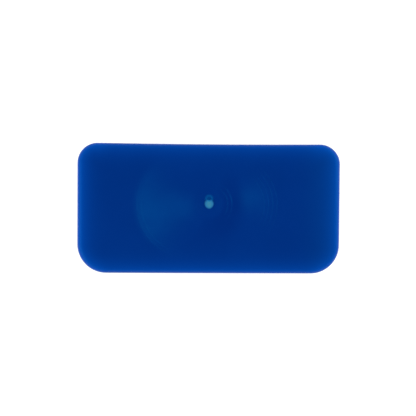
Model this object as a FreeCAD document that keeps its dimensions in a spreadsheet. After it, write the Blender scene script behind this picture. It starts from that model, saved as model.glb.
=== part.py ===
"""Hinged pocket case that holds two cubes of cue chalk, in millimetres.

The origin is at the middle of the underside. +Z is up, the hinge runs along X at the rear (+Y),
and the lid opens from the front (-Y). The case is drawn closed.
"""

import FreeCAD, Part
import math
import os
import re

import Sketcher

# Driving dimensions: name, millimetres (ripple_span and the three turns are in degrees).
DIMENSIONS = (
    # Outer shape; the rear face bows inwards between its corners, as moulded walls do
    ("case_length", 58.2),
    ("case_depth", 28.8),
    ("case_height", 27.4),
    ("rear_corner", 4.45),
    ("front_corner", 6.4),
    ("rear_bow", 0.16),
    ("edge_round", 1.3),
    # Moulded walls
    ("wall_thickness", 1.5),
    ("floor_thickness", 1.6),
    ("foot_width", 3.0),
    ("foot_height", 0.3),
    # Parting line, with the base's lip inside the lid's rebate
    ("parting_height", 20.6),
    ("parting_gap", 0.08),
    ("parting_bevel", 0.22),
    ("lip_inset", 0.85),
    ("lip_height", 1.2),
    ("lip_end_gap", 0.4),
    ("rebate_inset", 0.7),
    ("rebate_height", 1.35),
    # Hinge, whose axis is level with the parting line
    ("barrel_radius", 1.75),
    ("hinge_gap", 0.2),
    ("relief_drop", 1.6),
    ("centre_knuckle", 7.0),
    ("end_knuckle", 19.0),
    ("pin_radius", 0.75),
    ("pin_clearance", 0.05),
    ("pin_recess", 1.9),
    ("pin_stop", 2.2),
    ("pin_chamfer", 0.15),
    # Magnetic catch in the middle of the front
    ("magnet_radius", 2.0),
    ("magnet_height", 2.0),
    ("magnet_chamfer", 0.15),
    ("magnet_glue", 0.05),
    ("boss_radius", 2.8),
    ("boss_from_front", 3.9),
    # Thumb scallop under the lid's front edge
    ("scallop_depth", 0.7),
    ("scallop_radius", 46.0),
    ("scallop_height", 5.0),
    # Gate scar near the middle of the lid's top, and the ripple arcs round it. The outer arcs are
    # centred off the gate, because the melt's front flattens as it nears the ends of the case
    ("gate_from_middle", 1.0),
    ("gate_dish_radius", 2.9),
    ("gate_dish_depth", 0.3),
    ("gate_nub_radius", 1.0),
    ("gate_nub_drop", 0.05),
    ("gate_tear_drop", 0.2),
    ("gate_tail_radius", 0.85),
    ("gate_tail_offset", 1.15),
    ("gate_tail_drop", 0.14),
    ("gate_pit_radius", 0.42),
    ("gate_pit_depth", 0.3),
    ("gate_pit_offset", 1.23),
    ("ripple_pitch", 0.95),
    ("ripple_half_width", 0.2),
    ("ripple_depth", 0.035),
    ("ripple_span", 70.0),
    ("inner_ripple_centre", 0.0),
    ("inner_ripple_radius", 4.1),
    ("inner_ripple_turn", 12.0),
    ("right_ripple_centre", 4.5),
    ("right_ripple_radius", 7.75),
    ("right_ripple_turn", 9.0),
    ("left_ripple_centre", 3.9),
    ("left_ripple_radius", 11.05),
    ("left_ripple_turn", 27.0),
    # Ejector-pin marks in the lid's ceiling
    ("ejector_radius", 1.5),
    ("ejector_depth", 0.1),
    ("ejector_along", 25.2),
    ("ejector_across", 8.6),
    # Chalk cubes and their paper labels
    ("cube_side", 22.0),
    ("cube_height", 22.0),
    ("cube_corner", 1.15),
    ("cube_apart", 14.7),
    ("cube_gap", 0.35),
    ("label_thickness", 0.15),
    ("label_height", 20.7),
    ("label_glue", 0.02),
    ("dish_radius", 7.6),
    ("dish_depth", 2.4),
    ("chalk_chamfer", 0.35),
    # Thermoformed tray
    ("tray_thickness", 0.5),
    ("tray_gap", 0.15),
    ("tray_drop", 2.3),
    ("tray_mouth_round", 0.3),
    # Foam pads in the lid
    ("pad_side", 17.0),
    ("pad_corner", 2.5),
    ("pad_thickness", 1.6),
)

# Places and sizes that several pieces share, as expressions of the dimensions.
BOW_RADIUS = "(((case_length / 2 - rear_corner)^2 + rear_bow^2) / (2 * rear_bow) - rear_corner)"
HINGE_Y = "(case_depth / 2 - barrel_radius)"
HINGE_Z = "parting_height"
RELIEF_RADIUS = "(barrel_radius + hinge_gap)"
BOSS_Y = "(boss_from_front - case_depth / 2)"
LID_BOTTOM = "(parting_height + parting_gap)"
CEILING = "(case_height - wall_thickness)"
TRAY_TOP = "(parting_height - tray_drop)"
CUBE_Y = f"({HINGE_Y} - barrel_radius - cube_gap - cube_side / 2)"
CUBE_BOTTOM = "(floor_thickness + tray_thickness)"

SIDES = (("left", -1), ("right", 1))
RIPPLES = (("inner", 1, 2), ("right", 1, 4), ("left", -1, 2))
CLOSE = 1e-4  # lengths nearer than this, in millimetres, count as the same
LEAST_CHANGE = 1e-4  # cubic millimetres; a feature that changes less has missed its solid

doc = FreeCAD.newDocument("cue_chalk_case")


def make_sheet():
    """The spreadsheet that holds the driving dimensions."""
    sheet = doc.addObject("Spreadsheet::Sheet", "Dimensions")
    for row, (name, number) in enumerate(DIMENSIONS, 1):
        sheet.set(f"A{row}", name)
        sheet.set(f"B{row}", str(number))
        sheet.setAlias(f"B{row}", name)
    doc.recompute()


def expression(text):
    """Points every dimension named in the text at its cell."""
    return re.sub(r"[a-z]+(_[a-z]+)+", lambda word: f"Dimensions.{word.group(0)}", text)


def value(text):
    """What the text comes to, in millimetres."""
    return float(doc.Dimensions.evalExpression(expression(text)))


def bind(target, place, text, unit=""):
    """Binds a property or a constraint of the target to the sheet."""
    target.setExpression(place, f"({expression(text)}){unit}")


# ---------------------------------------------------------------- sketches


def origin_feature(body, role):
    """One of the body's own origin planes or axes."""
    return next(feature for feature in body.Origin.OriginFeatures if feature.Role == role)


def make_sketch(body, name, plane, offset):
    """A sketch on one of the body's origin planes, moved along the plane's normal."""
    sketch = body.newObject("Sketcher::SketchObject", name)
    sketch.AttachmentSupport = [(origin_feature(body, plane), "")]
    sketch.MapMode = "FlatFace"
    bind(sketch, "AttachmentOffset.Base.z", offset)
    return sketch


def constrain(sketch, kind, *places, size):
    """Adds a constraint whose size is bound to the sheet."""
    index = sketch.addConstraint(Sketcher.Constraint(kind, *places, value(size)))
    bind(sketch, f"Constraints[{index}]", size)


def fix_point(sketch, item, end, x, y):
    """Holds one point of the sketch at x, y from its origin."""
    constrain(sketch, "DistanceX", -1, 1, item, end, size=x)
    constrain(sketch, "DistanceY", -1, 1, item, end, size=y)


def add_line(sketch, start, end):
    """A straight line between two points, which are pairs of numbers."""
    return sketch.addGeometry(Part.LineSegment(FreeCAD.Vector(*start, 0), FreeCAD.Vector(*end, 0)))


def add_arc(sketch, centre, radius, start, end):
    """An anticlockwise arc, with its ends as angles in degrees."""
    circle = Part.Circle(FreeCAD.Vector(*centre, 0), FreeCAD.Vector(0, 0, 1), radius)
    return sketch.addGeometry(Part.ArcOfCircle(circle, math.radians(start), math.radians(end)))


def draw_circle(sketch, x, y, radius):
    """A full circle."""
    centre = FreeCAD.Vector(value(x), value(y), 0)
    item = sketch.addGeometry(Part.Circle(centre, FreeCAD.Vector(0, 0, 1), value(radius)))
    constrain(sketch, "Radius", item, size=radius)
    fix_point(sketch, item, 3, x, y)


def draw_polygon(sketch, points):
    """A closed straight-sided outline through points, which are pairs of expressions."""
    numbers = [(value(x), value(y)) for x, y in points]
    items = [add_line(sketch, a, b) for a, b in zip(numbers, numbers[1:] + numbers[:1])]
    for item, following, point in zip(items, items[1:] + items[:1], points):
        sketch.addConstraint(Sketcher.Constraint("Coincident", item, 2, following, 1))
        fix_point(sketch, item, 1, *point)


def draw_rounded_box(sketch, left, right, front, rear, front_corner, rear_corner, bow=None):
    """A rectangle whose front and rear corners have radii of their own.

    With a bow, the rear side is a hollow arc of that radius instead of a straight line.
    """
    x0, x1, y0, y1 = value(left), value(right), value(front), value(rear)
    rf, rr = value(front_corner), value(rear_corner)
    swing = math.asin(((x1 - x0) / 2 - rr) / (value(bow) + rr)) if bow else 0.0
    beyond = math.degrees(swing)
    front_side = add_line(sketch, (x0 + rf, y0), (x1 - rf, y0))
    front_right = add_arc(sketch, (x1 - rf, y0 + rf), rf, -90, 0)
    right_side = add_line(sketch, (x1, y0 + rf), (x1, y1 - rr))
    rear_right = add_arc(sketch, (x1 - rr, y1 - rr), rr, 0, 90 + beyond)
    rear_left = add_arc(sketch, (x0 + rr, y1 - rr), rr, 90 - beyond, 180)
    left_side = add_line(sketch, (x0, y1 - rr), (x0, y0 + rf))
    front_left = add_arc(sketch, (x0 + rf, y0 + rf), rf, 180, 270)
    if bow:
        bow_centre = ((x0 + x1) / 2, y1 - rr + (value(bow) + rr) * math.cos(swing))
        rear_side = add_arc(sketch, bow_centre, value(bow), 270 - beyond, 270 + beyond)
        constrain(sketch, "Radius", rear_side, size=bow)
        right_end, left_end = 2, 1
    else:
        rear_side = add_line(sketch, (x1 - rr, y1), (x0 + rr, y1))
        right_end, left_end = 1, 2
    for joint in (
        (front_side, 2, front_right, 1),
        (front_right, 2, right_side, 1),
        (right_side, 2, rear_right, 1),
        (rear_right, 2, rear_side, right_end),
        (rear_side, left_end, rear_left, 1),
        (rear_left, 2, left_side, 1),
        (left_side, 2, front_left, 1),
        (front_left, 2, front_side, 1),
    ):
        sketch.addConstraint(Sketcher.Constraint("Tangent", *joint))
    sketch.addConstraint(Sketcher.Constraint("Horizontal", front_side))
    sketch.addConstraint(Sketcher.Constraint("Vertical", right_side))
    sketch.addConstraint(Sketcher.Constraint("Vertical", left_side))
    sketch.addConstraint(Sketcher.Constraint("Equal", front_right, front_left))
    sketch.addConstraint(Sketcher.Constraint("Equal", rear_right, rear_left))
    sketch.addConstraint(Sketcher.Constraint("Horizontal", rear_right, 3, rear_left, 3))
    constrain(sketch, "Radius", front_right, size=front_corner)
    constrain(sketch, "Radius", rear_right, size=rear_corner)
    constrain(sketch, "DistanceX", -1, 1, left_side, 1, size=left)
    constrain(sketch, "DistanceX", -1, 1, right_side, 1, size=right)
    constrain(sketch, "DistanceY", -1, 1, front_side, 1, size=front)
    constrain(sketch, "DistanceY", -1, 1, rear_right, 3, size=f"({rear}) - ({rear_corner})")


def draw_outline(sketch, inset):
    """The case's outline, moved inwards by the inset."""
    draw_rounded_box(
        sketch,
        f"({inset}) - case_length / 2",
        f"case_length / 2 - ({inset})",
        f"({inset}) - case_depth / 2",
        f"case_depth / 2 - ({inset})",
        f"front_corner - ({inset})",
        f"rear_corner - ({inset})",
        f"{BOW_RADIUS} + ({inset})",
    )


def draw_outside(sketch):
    """Everything around the case's outline."""
    reach = "case_length"
    corners = [(f"-{reach}", f"-{reach}"), (reach, f"-{reach}"), (reach, reach), (f"-{reach}", reach)]
    draw_polygon(sketch, corners)
    draw_outline(sketch, "0")


def draw_square(sketch, x, y, side, corner):
    """A rounded square centred on x, y."""
    half = f"({side}) / 2"
    left, right = f"{x} - {half}", f"{x} + {half}"
    front, rear = f"{y} - {half}", f"{y} + {half}"
    draw_rounded_box(sketch, left, right, front, rear, corner, corner)


def draw_two_squares(sketch, side, corner):
    """A rounded square at each cube's place."""
    for _, sign in SIDES:
        draw_square(sketch, f"{sign} * cube_apart", CUBE_Y, side, corner)


# ---------------------------------------------------------------- features


def make_body(name):
    """A body whose label names its file."""
    body = doc.addObject("PartDesign::Body", name)
    body.Label = name
    return body


def add(body, name, plane, start, length, draw, *sizes):
    """Adds what the sketch encloses, from start for length along the plane's normal."""
    sketch = make_sketch(body, f"{name}_sketch", plane, start)
    draw(sketch, *sizes)
    pad = body.newObject("PartDesign::Pad", name)
    pad.Profile = sketch
    bind(pad, "Length", length)
    doc.recompute()


def cut(body, name, plane, start, length, draw, *sizes):
    """Removes what the sketch encloses, from start for length along the plane's normal."""
    sketch = make_sketch(body, f"{name}_sketch", plane, start)
    draw(sketch, *sizes)
    pocket = body.newObject("PartDesign::Pocket", name)
    pocket.Profile = sketch
    pocket.Reversed = True
    bind(pocket, "Length", length)
    doc.recompute()


def cut_dish(body, name, y, top, radius, depth):
    """Removes a shallow spherical dish from a flat top."""
    ball = f"(({radius})^2 + ({depth})^2) / (2 * ({depth}))"
    dish = body.newObject("PartDesign::SubtractiveSphere", name)
    dish.AttachmentSupport = [(origin_feature(body, "XY_Plane"), "")]
    dish.MapMode = "FlatFace"
    bind(dish, "Radius", ball)
    bind(dish, "AttachmentOffset.Base.y", y)
    bind(dish, "AttachmentOffset.Base.z", f"{top} - {depth} + {ball}")
    doc.recompute()


def dress(body, kind, name, size, amount, chosen):
    """Rounds or bevels the edges, of the body so far, whose boxes the rule picks."""
    base = body.Tip
    edges = [f"Edge{n}" for n, edge in enumerate(base.Shape.Edges, 1) if chosen(edge.BoundBox)]
    feature = body.newObject(f"PartDesign::{kind}", name)
    feature.Base = (base, edges)
    bind(feature, size, amount)
    doc.recompute()


def round_edges(body, name, radius, chosen):
    """Rounds the edges that the rule picks."""
    dress(body, "Fillet", name, "Radius", radius, chosen)


def bevel_edges(body, name, size, chosen):
    """Bevels the edges that the rule picks."""
    dress(body, "Chamfer", name, "Size", size, chosen)


def at_height(text):
    """A rule that picks the level edges at that height."""
    height = value(text)
    return lambda box: abs(box.ZMin - height) < CLOSE and abs(box.ZMax - height) < CLOSE


# ---------------------------------------------------------------- the shells


def add_barrel(body, name, start, length):
    """A length of hinge barrel, trimmed to the case's outline."""
    add(body, name, "YZ_Plane", start, length, draw_circle, HINGE_Y, HINGE_Z, "barrel_radius")
    low = f"{HINGE_Z} - barrel_radius"
    cut(body, f"{name}_trim", "XY_Plane", low, "2 * barrel_radius", draw_outside)


def draw_relief(sketch, up):
    """The end view of a hinge relief. up is 1 in the lid and -1 in the base."""
    front = f"{HINGE_Y} - {RELIEF_RADIUS}"
    rear = f"{HINGE_Y} + 2 * {RELIEF_RADIUS}"
    far = f"{HINGE_Z} - {up} * 2 * {RELIEF_RADIUS}"
    corners = [
        (HINGE_Y, f"{HINGE_Z} + {up} * {RELIEF_RADIUS}"),
        (rear, f"{HINGE_Z} + {up} * ({RELIEF_RADIUS} + relief_drop)"),
        (rear, far),
        (front, far),
    ]
    numbers = [(value(y), value(z)) for y, z in corners + [(front, HINGE_Z)]]
    lines = [add_line(sketch, a, b) for a, b in zip(numbers, numbers[1:])]
    start, end = (90, 180) if up > 0 else (180, 270)
    slope_end, front_end = (1, 2) if up > 0 else (2, 1)
    arc = add_arc(sketch, (value(HINGE_Y), value(HINGE_Z)), value(RELIEF_RADIUS), start, end)
    chain = [(arc, slope_end, lines[0], 1), (lines[-1], 2, arc, front_end)]
    chain += [(line, 2, following, 1) for line, following in zip(lines, lines[1:])]
    for joint in chain:
        sketch.addConstraint(Sketcher.Constraint("Coincident", *joint))
    for line, corner in zip(lines, corners):
        fix_point(sketch, line, 1, *corner)
    fix_point(sketch, arc, 3, HINGE_Y, HINGE_Z)
    constrain(sketch, "DistanceY", -1, 1, arc, front_end, size=HINGE_Z)


def cut_relief(body, name, start, length, up):
    """The space that the other shell's knuckle turns in.

    It hugs the knuckle, and behind it the gap widens towards the rear face, which leaves the
    lid room to lean back.
    """
    cut(body, name, "YZ_Plane", start, length, draw_relief, up)


def add_lip(body):
    """The base's lip, which stops short of the hinge and of the magnet bosses."""
    add(
        body, "lip", "XY_Plane", HINGE_Z, "lip_height",
        lambda sketch: (draw_outline(sketch, "lip_inset"), draw_outline(sketch, "wall_thickness")),
    )  # fmt: skip
    front_of_hinge = f"{HINGE_Y} - barrel_radius - lip_end_gap"
    beside_boss = "(boss_radius + lip_end_gap)"
    for name, left, right, front, rear in (
        ("lip_rear_gap", "-case_length", "case_length", front_of_hinge, "case_depth"),
        ("lip_front_gap", f"-{beside_boss}", beside_boss, "-case_depth", "0"),
    ):
        corners = [(left, front), (right, front), (right, rear), (left, rear)]
        cut(body, name, "XY_Plane", HINGE_Z, "lip_height", draw_polygon, corners)


def make_base_shell():
    """The lower shell: cavity, lip, three hinge knuckles, magnet boss and thumb scallop."""
    body = make_body("base_shell")
    add(body, "base_block", "XY_Plane", "0", "parting_height", draw_outline, "0")
    round_edges(body, "base_foot_round", "edge_round", at_height("0"))
    bevel_edges(body, "base_parting_bevel", "parting_bevel", at_height("parting_height"))
    cut(
        body, "base_cavity", "XY_Plane", "floor_thickness", "parting_height - floor_thickness",
        draw_outline, "wall_thickness",
    )  # fmt: skip
    cut(body, "base_foot_recess", "XY_Plane", "0", "foot_height", draw_outline, "foot_width")
    add_lip(body)
    add_barrel(body, "base_barrel", "-case_length / 2", "case_length")
    for side, start in (("left", "-end_knuckle"), ("right", "centre_knuckle")):
        cut_relief(body, f"base_relief_{side}", start, "end_knuckle - centre_knuckle", -1)
    cut(
        body, "base_pin_bore", "YZ_Plane", "-case_length / 2", "case_length - pin_stop",
        draw_circle, HINGE_Y, HINGE_Z, "pin_radius",
    )  # fmt: skip
    add(
        body, "base_magnet_boss", "XY_Plane", "floor_thickness", "parting_height - floor_thickness",
        draw_circle, "0", BOSS_Y, "boss_radius",
    )  # fmt: skip
    cut(
        body, "base_magnet_seat", "XY_Plane", "parting_height - magnet_height - magnet_glue",
        "magnet_height + magnet_glue", draw_circle, "0", BOSS_Y, "magnet_radius + magnet_glue",
    )  # fmt: skip
    cut(
        body, "base_scallop", "XY_Plane", "parting_height - scallop_height", "scallop_height",
        draw_circle, "0", "scallop_depth - scallop_radius - case_depth / 2", "scallop_radius",
    )  # fmt: skip
    add(
        body, "base_gate_scar", "XY_Plane", "foot_height / 3", "foot_height",
        draw_circle, "0", "0", "gate_nub_radius",
    )  # fmt: skip
    return body


def make_lid_shell():
    """The upper shell: cavity, rebate, two hinge knuckles, magnet boss and the gate scar on top."""
    body = make_body("lid_shell")
    lid_height = f"case_height - {LID_BOTTOM}"
    inner_height = f"{CEILING} - {LID_BOTTOM}"
    add(body, "lid_block", "XY_Plane", LID_BOTTOM, lid_height, draw_outline, "0")
    round_edges(body, "lid_top_round", "edge_round", at_height("case_height"))
    bevel_edges(body, "lid_parting_bevel", "parting_bevel", at_height(LID_BOTTOM))
    cut(body, "lid_cavity", "XY_Plane", LID_BOTTOM, inner_height, draw_outline, "wall_thickness")
    cut(body, "lid_rebate", "XY_Plane", LID_BOTTOM, "rebate_height", draw_outline, "rebate_inset")
    add_barrel(body, "lid_barrel", "-end_knuckle", "2 * end_knuckle")
    for name, start, length in (
        ("left", "-case_length", "case_length - end_knuckle + hinge_gap"),
        ("centre", "-centre_knuckle - hinge_gap", "2 * (centre_knuckle + hinge_gap)"),
        ("right", "end_knuckle - hinge_gap", "case_length - end_knuckle + hinge_gap"),
    ):
        cut_relief(body, f"lid_relief_{name}", start, length, 1)
    cut(
        body, "lid_pin_bore", "YZ_Plane", "-end_knuckle", "2 * end_knuckle",
        draw_circle, HINGE_Y, HINGE_Z, "pin_radius + pin_clearance",
    )  # fmt: skip
    add(
        body, "lid_magnet_boss", "XY_Plane", LID_BOTTOM, inner_height,
        draw_circle, "0", BOSS_Y, "boss_radius",
    )  # fmt: skip
    cut(
        body, "lid_magnet_seat", "XY_Plane", LID_BOTTOM, "magnet_height + magnet_glue",
        draw_circle, "0", BOSS_Y, "magnet_radius + magnet_glue",
    )  # fmt: skip

    def draw_ejector_marks(sketch):
        for _, along in SIDES:
            for _, across in SIDES:
                x, y = f"{along} * ejector_along", f"{across} * ejector_across"
                draw_circle(sketch, x, y, "ejector_radius")

    cut(body, "lid_ejector_marks", "XY_Plane", CEILING, "ejector_depth", draw_ejector_marks)
    add_gate_scar(body)
    add_ripples(body)
    return body


def add_gate_scar(body):
    """Where the sprue broke off: a nub torn on a slant in a shallow dish, and a pit behind it."""
    cut_dish(body, "gate_dish", "gate_from_middle", "case_height", "gate_dish_radius", "gate_dish_depth")
    for name, offset, radius, drop in (
        ("gate_nub", "0", "gate_nub_radius", "gate_nub_drop"),
        ("gate_tail", "gate_tail_offset", "gate_tail_radius", "gate_tail_drop"),
    ):
        root = "2 * gate_dish_depth"
        add(
            body, name, "XY_Plane", f"case_height - {root}", f"{root} - {drop}",
            draw_circle, "0", f"gate_from_middle + {offset}", radius,
        )  # fmt: skip
    front, rear = "gate_from_middle - gate_nub_radius", "gate_from_middle + gate_nub_radius"
    high, low = "case_height - gate_nub_drop", "case_height - gate_tear_drop"
    cut(
        body, "gate_tear", "YZ_Plane", "-gate_nub_radius", "2 * gate_nub_radius",
        draw_polygon, [(front, low), (rear, high), (front, high)],
    )  # fmt: skip
    cut(
        body, "gate_pit", "XY_Plane", "case_height - gate_pit_depth", "gate_pit_depth",
        draw_circle, "0", "gate_from_middle + gate_pit_offset", "gate_pit_radius",
    )  # fmt: skip


def add_ripples(body):
    """Shallow flow ripples in the top face, as arcs to the right and left of the gate."""
    for group, sign, count in RIPPLES:
        for number in range(count):
            radius = f"({group}_ripple_radius + {number} * ripple_pitch)"
            name = f"ripple_{group}_{number + 1}"
            turn = f"{group}_ripple_turn"
            sketch = make_sketch(body, f"{name}_sketch", "XZ_Plane", "-gate_from_middle")
            turned = FreeCAD.Rotation(FreeCAD.Vector(0, 1, 0), value(turn))
            sketch.AttachmentOffset = FreeCAD.Placement(sketch.AttachmentOffset.Base, turned)
            bind(sketch, "AttachmentOffset.Rotation.Angle", turn, " * 1 deg")
            bind(sketch, "AttachmentOffset.Base.x", f"{sign} * {group}_ripple_centre")
            points = [
                (f"{sign} * ({radius} - ripple_half_width)", "case_height"),
                (f"{sign} * {radius}", "case_height - ripple_depth"),
                (f"{sign} * ({radius} + ripple_half_width)", "case_height"),
            ]
            draw_polygon(sketch, points)
            groove = body.newObject("PartDesign::Groove", name)
            groove.Profile = sketch
            groove.ReferenceAxis = (sketch, ["V_Axis"])
            groove.Midplane = True
            bind(groove, "Angle", "ripple_span", " * 1 deg")
            doc.recompute()


# ---------------------------------------------------------------- hardware


def make_hinge_pin():
    """A plain steel wire pin, pushed in from the left and stopped inside the right end knuckle."""
    body = make_body("hinge_pin")
    length = "case_length - pin_recess - pin_stop - pin_clearance"
    add(
        body, "pin_wire", "YZ_Plane", "pin_recess - case_length / 2", length,
        draw_circle, HINGE_Y, HINGE_Z, "pin_radius",
    )  # fmt: skip
    bevel_edges(body, "pin_ends", "pin_chamfer", lambda box: box.XLength < CLOSE)
    return body


def make_magnet(name, bottom):
    """A nickel-plated disc magnet in its boss."""
    body = make_body(name)
    add(body, f"{name}_disc", "XY_Plane", "0", "magnet_height", draw_circle, "0", "0", "magnet_radius")
    bevel_edges(body, f"{name}_rim", "magnet_chamfer", lambda box: box.ZLength < CLOSE)
    bind(body, "Placement.Base.y", BOSS_Y)
    bind(body, "Placement.Base.z", bottom)
    return body


# ---------------------------------------------------------------- contents


def make_inner_tray():
    """A thermoformed tray: a flange with two square pockets that stand on the floor."""
    body = make_body("inner_tray")
    pocket_side = "(cube_side + 2 * tray_gap)"
    pocket_corner = "(cube_corner + tray_gap)"
    outer_side = f"{pocket_side} + 2 * tray_thickness"
    outer_corner = f"{pocket_corner} + tray_thickness"
    flange_bottom = f"{TRAY_TOP} - tray_thickness"
    add(
        body, "tray_flange", "XY_Plane", flange_bottom, "tray_thickness",
        draw_outline, "wall_thickness + tray_gap",
    )  # fmt: skip
    add(
        body, "tray_cups", "XY_Plane", "floor_thickness", f"{TRAY_TOP} - floor_thickness",
        draw_two_squares, outer_side, outer_corner,
    )  # fmt: skip
    cut(
        body, "tray_pockets", "XY_Plane", CUBE_BOTTOM, f"{TRAY_TOP} - {CUBE_BOTTOM}",
        draw_two_squares, pocket_side, pocket_corner,
    )  # fmt: skip
    is_level = at_height(TRAY_TOP)
    rear_of_mouths = value(f"{CUBE_Y} + {pocket_side} / 2") + CLOSE
    front_of_mouths = value(f"{CUBE_Y} - {pocket_side} / 2") - CLOSE

    def is_mouth(box):
        return is_level(box) and box.YMax < rear_of_mouths and box.YMin > front_of_mouths

    def is_mouth_inside_flange(box):
        widest = value(f"cube_apart + {pocket_side} / 2") + CLOSE
        return is_mouth(box) and box.XMax < widest and box.XMin > -widest

    round_edges(body, "tray_mouths", "tray_mouth_round", is_mouth_inside_flange)
    notch = "(boss_radius + tray_gap)"
    cut(
        body, "tray_boss_notch", "XY_Plane", flange_bottom, "tray_thickness",
        draw_rounded_box, f"-{notch}", notch, "-case_depth", f"{BOSS_Y} + {notch}",
        "tray_thickness", f"{notch} - tray_thickness",
    )  # fmt: skip
    return body


def put_with_cube(body, sign):
    """Moves a body that was drawn about the Z axis to its cube's place."""
    bind(body, "Placement.Base.x", f"{sign} * cube_apart")
    bind(body, "Placement.Base.y", CUBE_Y)
    bind(body, "Placement.Base.z", CUBE_BOTTOM)


def make_chalk(side, sign):
    """A pressed cube of chalk with a dished top."""
    name = f"chalk_{side}"
    body = make_body(name)
    skin = "(label_thickness + label_glue)"
    add(
        body, f"{name}_block", "XY_Plane", skin, f"cube_height - {skin}",
        draw_square, "0", "0", f"cube_side - 2 * {skin}", f"cube_corner - {skin}",
    )  # fmt: skip
    bevel_edges(body, f"{name}_edges", "chalk_chamfer", at_height("cube_height"))
    cut_dish(body, f"{name}_dish", "0", "cube_height", "dish_radius", "dish_depth")
    put_with_cube(body, sign)
    return body


def make_label(side, sign):
    """The paper wrap round the four sides of a cube, folded under it."""
    name = f"label_{side}"
    body = make_body(name)
    add(
        body, f"{name}_wrap", "XY_Plane", "0", "label_height",
        draw_square, "0", "0", "cube_side", "cube_corner",
    )  # fmt: skip
    cut(
        body, f"{name}_inside", "XY_Plane", "label_thickness", "label_height - label_thickness",
        draw_square, "0", "0", "cube_side - 2 * label_thickness", "cube_corner - label_thickness",
    )  # fmt: skip
    put_with_cube(body, sign)
    return body


def make_lid_pad(side, sign):
    """A foam square glued to the lid's ceiling over a cube."""
    name = f"lid_pad_{side}"
    body = make_body(name)
    add(
        body, f"{name}_foam", "XY_Plane", "0", "pad_thickness",
        draw_square, "0", "0", "pad_side", "pad_corner",
    )  # fmt: skip
    bind(body, "Placement.Base.x", f"{sign} * cube_apart")
    bind(body, "Placement.Base.y", CUBE_Y)
    bind(body, "Placement.Base.z", f"{CEILING} - pad_thickness")
    return body


# ---------------------------------------------------------------- checks and files


def check(body):
    """Stops if anything in the body failed, or if a feature changed nothing."""
    for item in (body, *body.Group):
        if {"Invalid", "Error"} & set(item.State):
            raise RuntimeError(f"{item.Name} failed: {item.State}")
        if item.TypeId == "Sketcher::SketchObject" and item.solve() != 0:
            raise RuntimeError(f"{item.Name} doesn't solve")
    features = [item for item in body.Group if item.TypeId.startswith("PartDesign::")]
    for before, after in zip(features, features[1:]):
        if abs(after.Shape.Volume - before.Shape.Volume) < LEAST_CHANGE:
            raise RuntimeError(f"{after.Name} changes nothing")
    shape = body.Shape
    if shape.isNull() or not shape.isValid() or len(shape.Solids) != 1:
        raise RuntimeError(f"{body.Label} isn't one valid solid")


def main():
    """Builds every body, checks it and writes its STEP file."""
    make_sheet()
    bodies = [make_base_shell(), make_lid_shell(), make_hinge_pin()]
    bodies.append(make_magnet("base_magnet", "parting_height - magnet_height"))
    bodies.append(make_magnet("lid_magnet", LID_BOTTOM))
    bodies.append(make_inner_tray())
    for side, sign in SIDES:
        bodies += [make_chalk(side, sign), make_label(side, sign), make_lid_pad(side, sign)]
    doc.recompute()
    for body in bodies:
        check(body)
    os.makedirs("parts", exist_ok=True)
    for body in bodies:
        body.Shape.exportStep(f"parts/{body.Label}.step")
        box = body.Shape.BoundBox
        print(f"{body.Label:14} {body.Shape.Volume:9.1f} mm3  z {box.ZMin:6.2f} to {box.ZMax:6.2f}")


main()
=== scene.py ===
"""The looks of a cue chalk case: a blue moulded box that holds two cubes of cue chalk.

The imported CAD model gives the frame. The two shells, the tray, the hinge pin and the magnets keep
their CAD shapes and get their materials here. The chalk, the paper labels and the foam pads are
modelled here, in the space that their CAD solids hold. Lengths are in metres.
"""

import math

import bpy
from mathutils import Matrix, Quaternion, Vector, noise


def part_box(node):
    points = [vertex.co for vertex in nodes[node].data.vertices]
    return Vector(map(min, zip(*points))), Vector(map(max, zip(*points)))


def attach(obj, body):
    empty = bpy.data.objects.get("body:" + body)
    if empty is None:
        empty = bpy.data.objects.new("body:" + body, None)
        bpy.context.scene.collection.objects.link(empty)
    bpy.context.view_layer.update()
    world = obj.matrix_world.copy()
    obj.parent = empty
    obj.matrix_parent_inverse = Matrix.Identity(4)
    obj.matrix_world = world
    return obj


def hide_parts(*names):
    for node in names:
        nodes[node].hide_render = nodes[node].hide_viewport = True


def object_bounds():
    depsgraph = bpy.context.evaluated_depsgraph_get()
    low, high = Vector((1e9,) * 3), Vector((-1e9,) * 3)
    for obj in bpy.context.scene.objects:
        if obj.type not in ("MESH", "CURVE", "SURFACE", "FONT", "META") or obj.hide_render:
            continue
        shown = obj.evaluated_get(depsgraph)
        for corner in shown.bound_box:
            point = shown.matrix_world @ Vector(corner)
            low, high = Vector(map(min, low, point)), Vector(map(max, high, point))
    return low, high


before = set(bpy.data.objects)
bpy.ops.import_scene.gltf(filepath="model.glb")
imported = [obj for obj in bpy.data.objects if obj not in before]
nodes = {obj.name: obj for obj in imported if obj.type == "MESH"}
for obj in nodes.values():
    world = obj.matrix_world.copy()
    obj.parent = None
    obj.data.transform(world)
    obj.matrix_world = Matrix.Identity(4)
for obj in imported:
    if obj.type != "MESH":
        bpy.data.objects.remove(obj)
cad_low, cad_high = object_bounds()

MM = 0.001

# The outline of the case, and where its gate scar and the centres of its ripples are.
# Ripple places are in millimetres along X from the gate.
LID_LOW, LID_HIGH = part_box("lid_shell")
BASE_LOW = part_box("base_shell")[0]
HALF_LENGTH = LID_HIGH.x
HALF_WIDTH = LID_HIGH.y
REAR_CORNER = 4.45 * MM
FRONT_CORNER = 6.4 * MM
GATE_Y = 1.0 * MM
RIPPLE_PITCH = 0.95
RIGHT_CENTRE, LEFT_CENTRE = 4.5, -3.9
PARTING_HEIGHT = LID_LOW.z

# Light on an upward surface, as a share of what makes a white one show pure white.
EXPOSURE = 1.15


def lit(red, green, blue):
    """The base colour that shows as this linear colour in the studio's light."""
    return (red / EXPOSURE, green / EXPOSURE, blue / EXPOSURE, 1)


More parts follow.
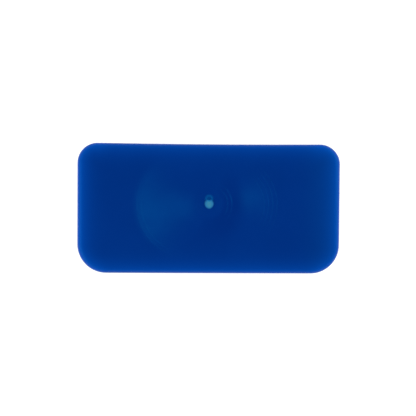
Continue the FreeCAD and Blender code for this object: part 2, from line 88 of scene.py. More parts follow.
# Colours, as linear red, green and blue.
SHELL_DEEP = lit(0.0003, 0.0312, 0.231)
# Painted glow along the shells' outer edges, standing in for light that comes through the plastic.
SHELL_PAINTED_GLOW = lit(0.0008, 0.0930, 0.565)
# Painted highlight on the lid's turned face round the gate and along its ripple grooves, and painted light
# in the gate's pit.
SHELL_PAINTED_LIGHT = lit(0.0008, 0.0650, 0.291)
SHELL_RIGHT_END_TONE = lit(0.0004, 0.0378, 0.235)
SHELL_SHADE = lit(0.0002, 0.0282, 0.216)
# Painted shade round the gate.
GATE_PAINTED_SHADE = lit(0.0002, 0.0232, 0.196)
GATE_WHITENED = lit(0.044, 0.242, 0.400)
GATE_BRUISED = lit(0.0200, 0.185, 0.440)
GATE_TAIL = lit(0.0010, 0.078, 0.310)
GATE_NOTCH = lit(0.0020, 0.190, 0.480)
SHELL_SHINE = (0.02, 0.55, 1.0, 1)
CHALK_BODY = (0.045, 0.190, 0.400, 1)
CHALK_PALE = (0.130, 0.330, 0.540, 1)
CHALK_WORN = (0.022, 0.105, 0.260, 1)
PAPER_WHITE = (0.760, 0.750, 0.700, 1)
PAPER_INK = (0.010, 0.050, 0.180, 1)
PAPER_LIGHT_INK = (0.120, 0.320, 0.560, 1)
TRAY_BLACK = (0.010, 0.011, 0.013, 1)
FOAM_GREY = (0.030, 0.032, 0.036, 1)
NICKEL = (0.640, 0.620, 0.580, 1)
STEEL = (0.500, 0.500, 0.510, 1)

# Painted highlight and painted shade round the gate: lighter and darker fans like those the lid's turned
# face shows under the softboxes. Lengths are in millimetres from the gate, directions in degrees from +X.
# Each fan is (direction, sharpness, centre of its outer radii, its four radii, strength, colour).
GATE_FANS = (
    (335, 0.6, 0.0, (2.4, 4.0, 5.6, 9.5), 0.85, GATE_PAINTED_SHADE),
    (187, 8, LEFT_CENTRE, (2.0, 5.0, 11.0, 13.6), 0.40, SHELL_PAINTED_LIGHT),
    (187, 7, LEFT_CENTRE, (8.5, 13.0, 11.2, 13.0), 0.26, SHELL_PAINTED_LIGHT),
    (8, 19, RIGHT_CENTRE, (5.8, 8.6, 5.5, 11.2), 0.29, SHELL_PAINTED_LIGHT),
)
# Painted highlights along the lid's ripple grooves.
# Each group of ripples is (its centre, direction, radius of its first arc, number of arcs, strength).
RIPPLE_GROUPS = (
    (0.0, 12, 4.10, 2, 1.7),
    (RIGHT_CENTRE, 4, 7.75, 4, 0.75),
    (LEFT_CENTRE, 200, 11.05, 2, 1.0),
)
RIPPLE_SHARPNESS = 5
RIPPLE_THINNESS = 1.5
RIPPLE_FADE_START, RIPPLE_FADE_END = 0.3, 0.5
RIPPLE_HIGHLIGHT_PAINT = 0.30
TAIL_Y, PIT_Y, NOTCH_Y = 1.15, 1.28, 0.78
SCAR_TAPER = 0.16
SCAR_MOTTLE = 1.8
SMALLEST_RADIUS = 0.1

# How far the painted glow along the edges reaches into the case, and how strong it is along its long sides,
# as a share of its strength at its ends.
GLOW_REACH = 1.56 * MM
SIDE_GLOW = 0.69

# The label's lattice: diamonds once round the cube, and rows of them over its full height.
DIAMONDS_ROUND, DIAMOND_ROWS = 24.0, 5.4


class Surface:
    """A new material, with short calls that add its nodes. Each call returns the output it made."""

    def __init__(self, name):
        self.material = bpy.data.materials.new(name)
        self.material.use_nodes = True
        self.tree = self.material.node_tree
        self.shader = self.tree.nodes["Principled BSDF"]

    def add(self, kind, **settings):
        made = self.tree.nodes.new(kind)
        for name, value in settings.items():
            setattr(made, name, value)
        return made

    def feed(self, socket, value):
        if isinstance(value, bpy.types.NodeSocket):
            self.tree.links.new(value, socket)
        else:
            socket.default_value = value

    def calc(self, operation, *values, clamp=False):
        step = self.add("ShaderNodeMath", operation=operation, use_clamp=clamp)
        for socket, value in zip(step.inputs, values):
            self.feed(socket, value)
        return step.outputs[0]

    def plus(self, first, second, clamp=False):
        return self.calc("ADD", first, second, clamp=clamp)

    def minus(self, first, second):
        return self.calc("SUBTRACT", first, second)

    def times(self, first, second, clamp=False):
        return self.calc("MULTIPLY", first, second, clamp=clamp)

    def larger(self, first, second):
        return self.calc("MAXIMUM", first, second)

    def smaller(self, first, second):
        return self.calc("MINIMUM", first, second)

    def absolute(self, value):
        return self.calc("ABSOLUTE", value)

    def position(self):
        """The point on the piece at rest, in millimetres."""
        place = self.add("ShaderNodeTexCoord").outputs["Object"]
        scaled = self.add("ShaderNodeVectorMath", operation="SCALE")
        self.feed(scaled.inputs[0], place)
        self.feed(scaled.inputs["Scale"], 1 / MM)
        return scaled.outputs[0]

    def split(self, vector):
        parts = self.add("ShaderNodeSeparateXYZ")
        self.feed(parts.inputs[0], vector)
        return parts.outputs[0], parts.outputs[1], parts.outputs[2]

    def noise(self, vector, scale, detail=3.0, roughness=0.5):
        made = self.add("ShaderNodeTexNoise")
        self.feed(made.inputs["Vector"], vector)
        self.feed(made.inputs["Scale"], scale)
        self.feed(made.inputs["Detail"], detail)
        self.feed(made.inputs["Roughness"], roughness)
        return made.outputs["Fac"]

    def cells(self, vector, scale, feature="F1"):
        made = self.add("ShaderNodeTexVoronoi", feature=feature)
        self.feed(made.inputs["Vector"], vector)
        self.feed(made.inputs["Scale"], scale)
        return made.outputs["Distance"]

    def rise(self, value, low, high):
        """0 below low, 1 above high, smooth between. With low above high it falls instead."""
        step = self.add("ShaderNodeMapRange", interpolation_type="SMOOTHSTEP")
        flipped = low > high
        self.feed(step.inputs["Value"], value)
        self.feed(step.inputs["From Min"], min(low, high))
        self.feed(step.inputs["From Max"], max(low, high))
        self.feed(step.inputs["To Min"], 1.0 if flipped else 0.0)
        self.feed(step.inputs["To Max"], 0.0 if flipped else 1.0)
        return step.outputs["Result"]

    def mix(self, amount, first, second):
        step = self.add("ShaderNodeMix", data_type="RGBA")
        self.feed(step.inputs["Factor"], amount)
        self.feed(step.inputs[6], first)
        self.feed(step.inputs[7], second)
        return step.outputs[2]

    def length(self, x, y, z=0.0):
        """The length of the vector with these parts."""
        joined = self.add("ShaderNodeCombineXYZ")
        for socket, value in zip(joined.inputs, (x, y, z)):
            self.feed(socket, value)
        step = self.add("ShaderNodeVectorMath", operation="LENGTH")
        self.feed(step.inputs[0], joined.outputs[0])
        return step.outputs["Value"]

    def bump(self, height, depth, under=None):
        """A normal from a height of 0 to 1 that stands for depth metres."""
        step = self.add("ShaderNodeBump")
        self.feed(step.inputs["Height"], height)
        self.feed(step.inputs["Distance"], depth)
        if under is not None:
            self.feed(step.inputs["Normal"], under)
        return step.outputs[0]

    def finish(self, **sockets):
        """Sets the shader's sockets, named with _ for a space."""
        for name, value in sockets.items():
            self.feed(self.shader.inputs[name.replace("_", " ")], value)
        return self.material


def outline_depth(surface, x, y):
    """How far a point is inside the case's outline, seen from above, in millimetres."""
    is_rear = surface.calc("GREATER_THAN", y, 0.0)
    extra = surface.times(is_rear, (REAR_CORNER - FRONT_CORNER) / MM)
    corner = surface.plus(extra, FRONT_CORNER / MM)
    past_x = surface.plus(surface.minus(surface.absolute(x), HALF_LENGTH / MM), corner)
    past_y = surface.plus(surface.minus(surface.absolute(y), HALF_WIDTH / MM), corner)
    outside = surface.length(surface.larger(past_x, 0.0), surface.larger(past_y, 0.0))
    inside = surface.smaller(surface.larger(past_x, past_y), 0.0)
    return surface.minus(surface.minus(corner, outside), inside)


def painted_edge_glow(surface, depth, z, edge_height, reach):
    """A painted glow: 1 on an outer edge of the case and fading away from it, standing in for light that
    comes through the plastic.
    """
    above = surface.minus(z, edge_height / MM)
    distance = surface.length(surface.larger(depth, 0.0), above)
    return surface.calc("EXPONENT", surface.calc("DIVIDE", distance, -reach / MM))


def lobe(surface, x, y, azimuth, sharpness):
    """1 in the direction of the azimuth, in degrees, and fading to either side of it."""
    turn = math.radians(azimuth)
    along_x = surface.times(x, math.cos(turn))
    along_y = surface.times(y, math.sin(turn))
    radius = surface.larger(surface.length(x, y), SMALLEST_RADIUS)
    cosine = surface.calc("DIVIDE", surface.plus(along_x, along_y), radius)
    return surface.calc("POWER", surface.larger(cosine, 0.0), sharpness)


def add_fan(surface, x, y, azimuth, sharpness, centre, radii):
    """A soft patch on one side of the gate, used for the painted highlights and the painted shade round it.

    It comes in between the first two radii, measured from the gate, and goes out between the last
    two, measured from a centre that far along X from the gate.
    """
    inner_start, inner_full, outer_full, outer_end = radii
    shape = lobe(surface, x, y, azimuth, sharpness)
    shape = surface.times(shape, surface.rise(surface.length(x, y), inner_start, inner_full))
    outer_radius = surface.length(surface.minus(x, centre), y)
    return surface.times(shape, surface.rise(outer_radius, outer_end, outer_full))


def add_ripple_highlights(surface, x, y, centre, azimuth, sharpness, first, count):
    """Thin arcs of painted highlight along the lid's ripple grooves. centre is how far along X their centre
    is from the gate.
    """
    x = surface.minus(x, centre)
    radius = surface.length(x, y)
    phase = surface.times(surface.minus(radius, first), 2 * math.pi / RIPPLE_PITCH)
    lines = surface.calc("POWER", surface.larger(surface.calc("COSINE", phase), 0.0), RIPPLE_THINNESS)
    last = first + (count - 1) * RIPPLE_PITCH
    lines = surface.times(lines, surface.rise(radius, first - RIPPLE_FADE_END, first - RIPPLE_FADE_START))
    lines = surface.times(lines, surface.rise(radius, last + RIPPLE_FADE_END, last + RIPPLE_FADE_START))
    return surface.times(lines, lobe(surface, x, y, azimuth, sharpness))


def add_gate_marks(surface, colour, x, y, z):
    """Round the gate: fans of painted highlight and painted shade, arcs of painted highlight along the
    ripple grooves, and the whitened scar that moulding left, with its pit painted lighter.
    """
    y = surface.minus(y, GATE_Y / MM)
    lid_top = LID_HIGH.z / MM
    on_top = surface.rise(z, lid_top - 0.9, lid_top - 0.6)

    cloudy = surface.noise(surface.position(), 0.30, detail=4.0)
    uneven = surface.plus(surface.times(cloudy, 1.1), 0.45)
    # Each fan mixes in its tone: the lighter ones are painted highlight, the darker one painted shade.
    for azimuth, sharpness, centre, radii, strength, tone in GATE_FANS:
        fan = add_fan(surface, x, y, azimuth, sharpness, centre, radii)
        amount = surface.times(surface.times(fan, uneven), strength)
        colour = surface.mix(surface.times(amount, on_top, clamp=True), colour, tone)

    broken = surface.rise(surface.noise(surface.position(), 0.7, detail=3.0), 0.25, 0.65)
    ripples = 0.0
    for centre, azimuth, first, count, strength in RIPPLE_GROUPS:
        lines = add_ripple_highlights(surface, x, y, centre, azimuth, RIPPLE_SHARPNESS, first, count)
        ripples = surface.plus(ripples, surface.times(lines, strength))
    ripples = surface.times(surface.times(ripples, broken), on_top)
    # Painted highlight: the arcs along the ripple grooves are mixed towards the lighter tone.
    colour = surface.mix(surface.times(ripples, RIPPLE_HIGHLIGHT_PAINT, clamp=True), colour, SHELL_PAINTED_LIGHT)

    tail = surface.rise(surface.length(x, surface.minus(y, TAIL_Y)), 1.20, 0.65)
    pit = surface.rise(surface.length(x, surface.minus(y, PIT_Y)), 0.55, 0.30)
    notch = surface.rise(surface.length(x, surface.minus(y, NOTCH_Y)), 0.24, 0.10)
    taper = surface.minus(1.0, surface.times(y, SCAR_TAPER))
    scar_radius = surface.length(surface.times(x, taper), y)
    scar = surface.rise(scar_radius, 1.2, 0.7)
    torn = surface.noise(surface.position(), 1.6, detail=4.0, roughness=0.7)
    torn = surface.times(surface.minus(torn, 0.5), SCAR_MOTTLE)
    bruised = surface.plus(surface.rise(scar_radius, 0.2, 0.95), torn, clamp=True)
    whitened = surface.mix(bruised, GATE_WHITENED, GATE_BRUISED)
    # The pit is painted in the lighter tone, as painted light against the shade in its hollow.
    for mask, tone in ((tail, GATE_TAIL), (scar, whitened), (pit, SHELL_PAINTED_LIGHT), (notch, GATE_NOTCH)):
        colour = surface.mix(surface.times(mask, on_top), colour, tone)
    return colour, ripples


def shell_material(name, edges, gate):
    """Deep blue moulded plastic, with a painted glow along the outer edges at the heights given."""
    surface = Surface(name)
    place = surface.position()
    x, y, z = surface.split(place)
    depth = outline_depth(surface, x, y)

    clouds = surface.rise(surface.noise(place, 0.09, detail=5.0), 0.3, 0.8)
    colour = surface.mix(clouds, SHELL_SHADE, SHELL_DEEP)
    # Lighter towards the right end of the case.
    colour = surface.mix(surface.rise(x, 18, 29), colour, SHELL_RIGHT_END_TONE)
    glow = 0.0
    for height, strength in edges:
        edge = painted_edge_glow(surface, depth, z, height, GLOW_REACH)
        glow = surface.plus(glow, surface.times(edge, strength))
    near_end = surface.rise(surface.absolute(x), HALF_LENGTH / MM - 8, HALF_LENGTH / MM - 4)
    glow = surface.times(glow, surface.plus(surface.times(near_end, 1 - SIDE_GLOW), SIDE_GLOW))
    # Painted glow: the outer edges are mixed towards the lighter edge colour.
    colour = surface.mix(surface.smaller(glow, 1.0), colour, SHELL_PAINTED_GLOW)

    grain = surface.noise(place, 7.0, detail=3.0)
    waviness = surface.noise(place, 0.25, detail=1.0)
    normal = surface.bump(grain, 0.0012 * MM)
    normal = surface.bump(waviness, 0.03 * MM, normal)
    if gate:
        colour, ripples = add_gate_marks(surface, colour, x, y, z)
        normal = surface.bump(ripples, 0.012 * MM, normal)
    handling = surface.noise(place, 0.5, detail=4.0)
    roughness = surface.plus(surface.times(handling, 0.10), 0.30)
    return surface.finish(
        Base_Color=colour,
        Roughness=roughness,
        Normal=normal,
        Specular_IOR_Level=0.15,
        Specular_Tint=SHELL_SHINE,
    )


def chalk_material():
    """Pressed chalk: pale where it is dusty, and darker where cue tips have rubbed it."""
    surface = Surface("pressed_chalk")
    place = surface.position()
    grains = surface.noise(place, 5.0, detail=6.0, roughness=0.75)
    blotches = surface.rise(surface.noise(place, 0.35, detail=3.0), 0.35, 0.75)
    specks = surface.rise(surface.cells(place, 2.6), 0.20, 0.08)
    colour = surface.mix(surface.times(blotches, 0.30), CHALK_BODY, CHALK_PALE)
    colour = surface.mix(surface.times(surface.rise(grains, 0.46, 0.66), 0.45), colour, CHALK_PALE)
    colour = surface.mix(surface.times(specks, 0.40), colour, CHALK_WORN)
    worn = surface.add("ShaderNodeAttribute", attribute_name="wear").outputs["Fac"]
    scoured = surface.rise(surface.noise(place, 0.9, detail=3.0), 0.30, 0.60)
    worn = surface.times(worn, surface.plus(surface.times(scoured, 0.35), 0.45))
    colour = surface.mix(worn, colour, CHALK_WORN)
    normal = surface.bump(grains, 0.09 * MM)
    normal = surface.bump(surface.noise(place, 1.8, detail=4.0), 0.08 * MM, normal)
    return surface.finish(Base_Color=colour, Roughness=0.95, Normal=normal, Specular_IOR_Level=0.15)


def from_repeat_middle(surface, place, repeats):
    """How far a place is from the middle of its repeat of a pattern, as a share of one repeat."""
    return surface.absolute(surface.minus(surface.calc("FRACT", surface.times(place, repeats)), 0.5))


def label_material():
    """Printed paper: two dark bands with fine rules, and a lattice of diamonds between them."""
    surface = Surface("label_paper")
    print_place = surface.add("ShaderNodeAttribute", attribute_name="print").outputs["Vector"]
    along, height, is_outer = surface.split(print_place)
    place = surface.position()
    fibres = surface.noise(place, 7.0, detail=6.0, roughness=0.65)

    from_middle = surface.absolute(surface.minus(height, 0.5))
    band = surface.rise(from_middle, 0.335, 0.341)
    rule_inside = surface.rise(from_middle, 0.300, 0.304)
    rule_outside = surface.rise(from_middle, 0.318, 0.314)
    rule = surface.times(rule_inside, rule_outside)
    margin = surface.rise(from_middle, 0.474, 0.478)
    across = from_repeat_middle(surface, along, DIAMONDS_ROUND)
    down = from_repeat_middle(surface, height, DIAMOND_ROWS)
    diamond = surface.plus(across, down)
    lattice = surface.rise(diamond, 0.40, 0.37)
    centre = surface.rise(diamond, 0.17, 0.14)
    field = surface.rise(from_middle, 0.285, 0.281)

    colour = surface.mix(surface.times(lattice, field), PAPER_WHITE, PAPER_LIGHT_INK)
    colour = surface.mix(surface.times(centre, field), colour, PAPER_INK)
    colour = surface.mix(surface.plus(band, rule, clamp=True), colour, PAPER_INK)
    colour = surface.mix(margin, colour, PAPER_WHITE)
    colour = surface.mix(is_outer, PAPER_WHITE, colour)
    scuffed = surface.rise(fibres, 0.60, 0.74)
    dust_patches = surface.rise(surface.noise(place, 0.5, detail=5.0), 0.5, 0.75)
    dusty = surface.times(dust_patches, 0.35)
    colour = surface.mix(surface.times(scuffed, 0.35), colour, PAPER_WHITE)
    colour = surface.mix(dusty, colour, CHALK_PALE)
    return surface.finish(
        Base_Color=colour, Roughness=0.72, Normal=surface.bump(fibres, 0.03 * MM), Specular_IOR_Level=0.3
    )


def tray_material():
    """Thin black vacuum-formed sheet, satin, with patches of chalk dust where it faces up."""
    surface = Surface("tray_plastic")
    place = surface.position()
    normal_z = surface.split(surface.add("ShaderNodeNewGeometry").outputs["Normal"])[2]
    facing_up = surface.rise(normal_z, 0.3, 0.9)
    dust_grain = surface.rise(surface.noise(place, 5.0, detail=8.0, roughness=0.75), 0.48, 0.68)
    dust_patch = surface.rise(surface.noise(place, 0.30, detail=3.0), 0.35, 0.75)
    dust = surface.times(surface.times(dust_grain, dust_patch), facing_up)
    colour = surface.mix(surface.times(dust, 0.75), TRAY_BLACK, CHALK_PALE)
    roughness = surface.plus(surface.times(dust, 0.5), 0.28)
    sag = surface.noise(place, 0.25, detail=2.0)
    normal = surface.bump(sag, 0.25 * MM)
    normal = surface.bump(dust_grain, 0.03 * MM, normal)
    return surface.finish(Base_Color=colour, Roughness=roughness, Normal=normal, Specular_IOR_Level=0.5)


def foam_material():
    """Fine-celled foam with a blue chalk stain where the cube below rubs it, and painted shade in its
    pores.
    """
    surface = Surface("pad_foam")
    place = surface.position()
    large_pores = surface.rise(surface.cells(place, 3.2), 0.32, 0.10)
    small_pores = surface.rise(surface.cells(place, 7.0), 0.3, 0.1)
    pore_depth_and_shade = surface.plus(large_pores, surface.times(small_pores, 0.5))
    stain = surface.add("ShaderNodeAttribute", attribute_name="wear").outputs["Fac"]
    patchy = surface.rise(surface.noise(place, 0.9, detail=8.0, roughness=0.55), 0.10, 0.80)
    stained = surface.times(surface.times(stain, patchy), 0.6)
    colour = surface.mix(stained, FOAM_GREY, CHALK_PALE)
    # Painted shade: the pores are mixed towards near-black.
    colour = surface.mix(surface.times(pore_depth_and_shade, 0.6, clamp=True), colour, TRAY_BLACK)
    lift = surface.minus(1.0, pore_depth_and_shade)
    return surface.finish(
        Base_Color=colour,
        Roughness=0.9,
        Normal=surface.bump(lift, 0.10 * MM),
        Sheen_Weight=0.2,
        Specular_IOR_Level=0.2,
    )


def metal_material(name, colour, roughness, scratch_scale):
    """Polished or drawn metal with fine marks."""
    surface = Surface(name)
    place = surface.position()
    marks = surface.noise(place, scratch_scale, detail=6.0, roughness=0.6)
    tarnish = surface.rise(surface.noise(place, 0.8, detail=4.0), 0.45, 0.8)
    tarnish_darkness = 0.62
    dulled = tuple(tarnish_darkness * part for part in colour[:3]) + (1,)
    tone = surface.mix(surface.times(tarnish, 0.6), colour, dulled)
    gloss = surface.plus(surface.times(marks, 0.2), roughness)
    normal = surface.bump(marks, 0.004 * MM)
    return surface.finish(Base_Color=tone, Metallic=1.0, Roughness=gloss, Normal=normal)


def dress(node_name, material):
    """Gives a CAD node one material."""
    mesh = nodes[node_name].data
    mesh.materials.clear()
    mesh.materials.append(material)


def rounded_square(angle, half, corner):
    """How far the outline of a square with rounded corners is from its centre, at an angle."""
    across, up = abs(math.cos(angle)), abs(math.sin(angle))
    straight = half / max(across, up)
    if min(across, up) * straight <= half - corner:
        return straight
    centre = half - corner
    reach = centre * (across + up)
    return reach + math.sqrt(max(reach * reach - 2 * centre * centre + corner * corner, 0))


def new_piece(name, points, faces, material, attributes=()):
    """A mesh piece with smooth faces. attributes holds (name, type, one value for each point)."""
    mesh = bpy.data.meshes.new(name)
    mesh.from_pydata(points, [], faces)
    mesh.validate()
    for title, kind, values in attributes:
        layer = mesh.attributes.new(title, kind, "POINT")
        for item, value in zip(layer.data, values):
            if kind == "FLOAT":
                item.value = value
            else:
                item.vector = value
    mesh.shade_smooth()
    mesh.materials.append(material)
    piece = bpy.data.objects.new(name, mesh)
    bpy.context.scene.collection.objects.link(piece)
    return piece


def ring_faces(ring_count, per_ring):
    """Faces that join rings of points, each to the next, going round."""
    faces = []
    for ring in range(ring_count - 1):
        for step in range(per_ring):
            after = (step + 1) % per_ring
            faces.append((ring * per_ring + step, (ring + 1) * per_ring + step,
                          (ring + 1) * per_ring + after, ring * per_ring + after))
    return faces


def chalk_rings(half, height):
    """The rings of a dished cube, from the dish's middle to the middle of its underside.

    Each is (radius of a circle, half of a square, share of the square, height, wear).
    """
    dish_radius, dish_depth = 7.6 * MM, 2.4 * MM
    ball = (dish_radius ** 2 + dish_depth ** 2) / (2 * dish_depth)
    rim_width, rim_wear = 0.22 * MM, 0.07 * MM
    edge = 0.35 * MM
    rings = []
    dish_steps = 26
    dish_reach = dish_radius + 3 * rim_width
    for step in range(1, dish_steps + 1):
        radius = dish_reach * math.sin(math.pi / 2 * step / dish_steps)
        bowl = height - dish_depth + ball - math.sqrt(ball ** 2 - radius ** 2)
        worn_off = rim_wear * math.exp(-((radius - dish_radius) / rim_width) ** 2)
        wear = max(0.0, 1 - (radius / dish_radius) ** 4)
        rings.append((radius, half, 0.0, min(bowl, height) - worn_off, wear))
    land_steps = 12
    for step in range(1, land_steps + 1):
        rings.append((dish_reach, half - edge, step / land_steps, height, 0.0))
    edge_steps = 4
    for step in range(1, edge_steps + 1):
        turn = math.pi / 2 * step / edge_steps
        square = half - edge + edge * math.sin(turn)
        rings.append((half, square, 1.0, height - edge + edge * math.cos(turn), 0.0))
    side_steps = 22
    for step in range(1, side_steps + 1):
        share = (step / side_steps) ** 2
        rings.append((half, half, 1.0, (height - edge) * (1 - share) + edge * share, 0.0))
    for step in range(1, edge_steps + 1):
        turn = math.pi / 2 * step / edge_steps
        square = half - edge + edge * math.cos(turn)
        rings.append((half, square, 1.0, edge - edge * math.sin(turn), 0.0))
    underside_steps = 5
    for step in range(1, underside_steps):
        rings.append((half, (half - edge) * (1 - step / underside_steps), 1.0, 0.0, 0.0))
    return rings


def make_chalk(side, material):
    """A cube of pressed chalk with a dish in its top and crumbled edges."""
    low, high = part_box("chalk_" + side)
    middle = (low + high) / 2
    half, height = (high.x - low.x) / 2, high.z - low.z
    corner = 0.98 * MM
    worn_height, worn_width = 1.0 * MM, 0.9 * MM
    crumble_depth, chip_depth, chip_threshold = 0.06, 1.1, 0.30
    drop = 0.7
    around = 288
    points, wear = [], []
    rings = chalk_rings(half, height)
    for circle, square, share, level, rub in rings:
        for step in range(around):
            angle = 2 * math.pi * step / around
            radius = circle * (1 - share) + rounded_square(angle, square, corner) * share
            outline = rounded_square(angle, half, corner)
            point = Vector((radius * math.cos(angle), radius * math.sin(angle), level))
            place = (point + middle) / MM
            near_top = max(0.0, 1 - (height - level) / worn_height)
            near_edge = near_top * max(0.0, 1 - (outline - radius) / worn_width)
            crumble = 0.5 + 0.5 * noise.fractal(place * 1.7, 0.9, 2.0, 4)
            chip = max(0.0, noise.noise(place * 0.8) - chip_threshold)
            inward = (crumble_depth * crumble + chip_depth * chip) * near_edge * MM
            point -= Vector((point.x / radius, point.y / radius, 0)) * inward
            point.z -= inward * drop
            points.append(point + Vector((middle.x, middle.y, low.z)))
            wear.append(rub)
    faces = ring_faces(len(rings), around)
    top, bottom = len(points), len(points) + 1
    dish_floor = points[0].z
    points += [Vector((middle.x, middle.y, dish_floor)), Vector((middle.x, middle.y, low.z))]
    wear += [1.0, 0.0]
    last = (len(rings) - 1) * around
    for step in range(around):
        after = (step + 1) % around
        faces.append((top, step, after))
        faces.append((bottom, last + after, last + step))
    piece = new_piece("cue_chalk_" + side, points, faces, material, [("wear", "FLOAT", wear)])
    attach(piece, "base")
    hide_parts("chalk_" + side)
    return piece


def label_profile(height, paper):
    """The label from the end of its folded-under flap to its top.

    Each row is (share of the outline, height outside, inset and height inside, height on the print).
    """
    rows = []
    for share in (0.42, 0.60, 0.78, 0.93):
        rows.append((share, 0.0, 0.0, paper, 0.0))
    fold_share, fold_height = 0.992, 0.08 * MM
    rows.append((fold_share, 0.0, paper, paper, 0.0))
    wall_rows = 26
    for row in range(wall_rows + 1):
        level = fold_height + (height - fold_height) * row / wall_rows
        rows.append((1.0, level, paper, max(level, paper), row / wall_rows))
    return rows


def make_label(side, material):
    """A paper strip wrapped once round a cube, glued with an overlap at the back and folded under it."""
    low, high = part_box("label_" + side)
    middle = (low + high) / 2
    lap_rise, paper = 0.10 * MM, 0.12 * MM
    half = (high.x - low.x) / 2 - lap_rise
    corner = 0.85 * MM
    around = 240
    overlap_length, length_round = 3.0, 88.0
    overlap = overlap_length / length_round
    start = math.pi / 2
    wave_depth, curl_depth = 0.015 * MM, 0.03 * MM
    curl_start, curl_span = 0.93, 0.07
    rows = label_profile(high.z - low.z, paper)
    outer, inner = [], []
    for share, rise, inset, inner_rise, height in rows:
        for step in range(around + 1):
            along = step / around
            angle = start + 2 * math.pi * along * (1 + overlap)
            lap = max(0.0, along * (1 + overlap) - 1 + overlap) / overlap
            is_lapped = along > 0.5 and share == 1.0
            lap_lift = min(lap, 1.0) * lap_rise if is_lapped else 0.0
            wave = wave_depth * noise.noise(Vector((angle * 6, height * 3, 4.0)))
            unevenness = 0.5 + 0.5 * noise.noise(Vector((angle * 9, 0, 1)))
            curl = curl_depth * max(0.0, height - curl_start) / curl_span * unevenness
            radius = (rounded_square(angle, half, corner) + lap_lift + wave + curl) * share
            across = Vector((math.cos(angle), math.sin(angle), 0))
            foot = Vector((middle.x, middle.y, low.z))
            outside = foot + across * radius + Vector((0, 0, rise))
            inside = foot + across * (radius - inset) + Vector((0, 0, inner_rise))
            outer.append((outside, (along, height, 1.0)))
            inner.append((inside, (along, height, 0.0)))
    per_row = around + 1
    total = len(outer)
    last_row = len(rows) - 1
    faces = []
    for row in range(last_row):
        for step in range(around):
            first = row * per_row + step
            above = first + per_row
            faces.append((first, first + 1, above + 1, above))
            faces.append((total + above, total + above + 1, total + first + 1, total + first))
    for step in range(around):
        last = last_row * per_row + step
        faces.append((step, total + step, total + step + 1, step + 1))
        faces.append((last + 1, total + last + 1, total + last, last))
    for row in range(last_row):
        first, end = row * per_row, row * per_row + around
        faces.append((first, first + per_row, total + first + per_row, total + first))
        faces.append((end + per_row, end, total + end, total + end + per_row))
    points = [point for point, _ in outer + inner]
    prints = [place for _, place in outer + inner]
    piece = new_piece("paper_label_" + side, points, faces, material, [("print", "FLOAT_VECTOR", prints)])
    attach(piece, "base")
    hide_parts("label_" + side)
    return piece


def make_pad(side, material):
    """A die-cut foam pad with a rounded edge, dented by the rim of the dish in the cube below."""
    low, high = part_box("lid_pad_" + side)
    middle = (low + high) / 2
    half, thickness = (high.x - low.x) / 2, high.z - low.z
    edge = 0.5 * MM
    corner = 2.5 * MM
    dent_radius, dent_width = 8.0 * MM, 0.9 * MM
    dent_depth, lump_depth = 0.10, 0.03
    around = 120
    rings = []
    face_steps, edge_steps, back_steps = 18, 5, 8
    for step in range(1, face_steps + 1):
        rings.append(((half - edge) * step / face_steps, 0.0))
    for step in range(1, edge_steps + 1):
        turn = math.pi / 2 * step / edge_steps
        rings.append((half - edge + edge * math.sin(turn), edge * (1 - math.cos(turn))))
    rings.append((half, thickness * 0.6))
    rings.append((half, thickness * 0.9))
    rings.append((half - 0.05 * MM, thickness))
    for step in range(1, back_steps):
        rings.append((half * (1 - step / back_steps), thickness))
    points, wear = [], []
    for size, rise in rings:
        for step in range(around):
            angle = 2 * math.pi * step / around
            radius = rounded_square(angle, size, min(corner, size * 0.9))
            point = Vector((radius * math.cos(angle), radius * math.sin(angle), rise))
            is_face = rise < thickness * 0.5
            rim = math.exp(-(((radius - dent_radius) / dent_width) ** 2)) if is_face else 0.0
            touched = rim if radius < dent_radius else max(rim, 0.6 if rise < edge else 0.0)
            lumps = 0.5 + 0.5 * noise.noise((point + middle) / MM * 1.1)
            if rise < edge:
                point.z += (dent_depth * touched + lump_depth * lumps) * MM
            points.append(point + Vector((middle.x, middle.y, low.z)))
            wear.append(min(1.0, touched))
    faces = ring_faces(len(rings), around)
    faces = [tuple(reversed(face)) for face in faces]
    under, over = len(points), len(points) + 1
    points += [Vector((middle.x, middle.y, points[0].z)), Vector((middle.x, middle.y, high.z))]
    wear += [0.0, 0.0]
    last = (len(rings) - 1) * around
    for step in range(around):
        after = (step + 1) % around
        faces.append((under, after, step))
        faces.append((over, last + step, last + after))
    piece = new_piece("foam_pad_" + side, points, faces, material, [("wear", "FLOAT", wear)])
    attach(piece, "lid")
    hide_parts("lid_pad_" + side)
    return piece


def make_camera():
    """The camera stands over the case, a little to the left of its middle and behind it."""
    aim_x, aim_y = -0.25 * MM, 0.16 * MM
    offset_mm = Vector((-6.3, 6.3, 200))
    roll = math.radians(0.4)
    target = Vector((aim_x, aim_y, LID_HIGH.z))
    camera = bpy.data.objects.new("camera", bpy.data.cameras.new("camera"))
    camera.data.sensor_width = 36
    camera.data.lens = 78.5
    camera.data.clip_start, camera.data.clip_end = 0.01, 20
    camera.location = target + offset_mm * MM
    backward = (camera.location - target).normalized()
    rightward = Vector((0, 1, 0)).cross(backward).normalized()
    upward = backward.cross(rightward)
    facing = Matrix((rightward, upward, backward)).transposed()
    camera.rotation_mode = "QUATERNION"
    camera.rotation_quaternion = facing.to_quaternion() @ Quaternion((0, 0, 1), roll)
    bpy.context.scene.collection.objects.link(camera)
    bpy.context.scene.camera = camera


def add_softbox(name, azimuth, elevation, distance, size, power):
    """A square softbox aimed at the case."""
    light = bpy.data.lights.new(name, "AREA")
    light.shape = "SQUARE"
    light.size = size
    light.energy = power
    flat = math.cos(math.radians(elevation))
    turn = math.radians(azimuth)
    height = math.sin(math.radians(elevation))
    direction = Vector((math.cos(turn) * flat, math.sin(turn) * flat, height))
    lamp = bpy.data.objects.new(name, light)
    lamp.location = direction * distance
    lamp.rotation_mode = "QUATERNION"
    lamp.rotation_quaternion = (-direction).to_track_quat("-Z", "Y")
    bpy.context.scene.collection.objects.link(lamp)


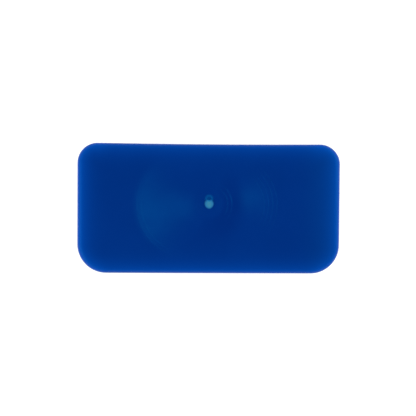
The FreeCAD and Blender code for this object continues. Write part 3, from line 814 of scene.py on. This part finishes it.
def light_studio():
    """Soft light from the sides, and a pale room that is darker overhead."""
    for name, azimuth in (("softbox_right", 20), ("softbox_left", 200)):
        add_softbox(name, azimuth, elevation=42, distance=0.8, size=0.5, power=2.9)
    world = bpy.data.worlds.new("studio")
    world.use_nodes = True
    tree = world.node_tree
    background = tree.nodes["Background"]
    direction = tree.nodes.new("ShaderNodeTexCoord").outputs["Generated"]
    parts = tree.nodes.new("ShaderNodeSeparateXYZ")
    ramp = tree.nodes.new("ShaderNodeMapRange")
    ramp.interpolation_type = "SMOOTHSTEP"
    ramp.inputs["From Min"].default_value = 0.50
    ramp.inputs["From Max"].default_value = 0.92
    ramp.inputs["To Min"].default_value = 1.0
    ramp.inputs["To Max"].default_value = 0.05
    tree.links.new(direction, parts.inputs[0])
    tree.links.new(parts.outputs[2], ramp.inputs["Value"])
    tree.links.new(ramp.outputs["Result"], background.inputs["Strength"])
    background.inputs["Color"].default_value = (1, 1, 1, 1)
    bpy.context.scene.world = world


def lay_floor():
    """A pale sheet under the case, lit a little from below, as a light table is."""
    size = 3.0
    corners = [(-size, -size, 0), (size, -size, 0), (size, size, 0), (-size, size, 0)]
    surface = Surface("floor")
    paper = surface.noise(surface.position(), 0.002, detail=2.0)
    tone = surface.mix(paper, (0.58, 0.58, 0.58, 1), (0.62, 0.62, 0.62, 1))
    material = surface.finish(
        Base_Color=tone,
        Roughness=0.9,
        Specular_IOR_Level=0.0,
        Emission_Color=(1, 1, 1, 1),
        Emission_Strength=0.68,
    )
    floor = new_piece("floor", corners, [(0, 1, 2, 3)], material)
    gap = 0.02 * MM
    floor.location.z = cad_low.z - gap


bpy.context.scene.view_settings.view_transform = "Standard"
make_camera()
light_studio()
lay_floor()

# Heights and strengths of the painted glow along each shell's outer edges.
lid_edges = [(LID_HIGH.z, 1.0), (PARTING_HEIGHT, 0.45)]
base_edges = [(PARTING_HEIGHT, 0.45), (BASE_LOW.z, 0.8)]
dress("lid_shell", shell_material("lid_plastic", lid_edges, gate=True))
dress("base_shell", shell_material("base_plastic", base_edges, gate=False))
dress("inner_tray", tray_material())
dress("hinge_pin", metal_material("pin_steel", STEEL, 0.28, 9.0))
for magnet in ("base_magnet", "lid_magnet"):
    dress(magnet, metal_material(magnet + "_nickel", NICKEL, 0.14, 3.0))

chalk = chalk_material()
paper = label_material()
foam = foam_material()
for side in ("left", "right"):
    make_chalk(side, chalk)
    make_label(side, paper)
    make_pad(side, foam)
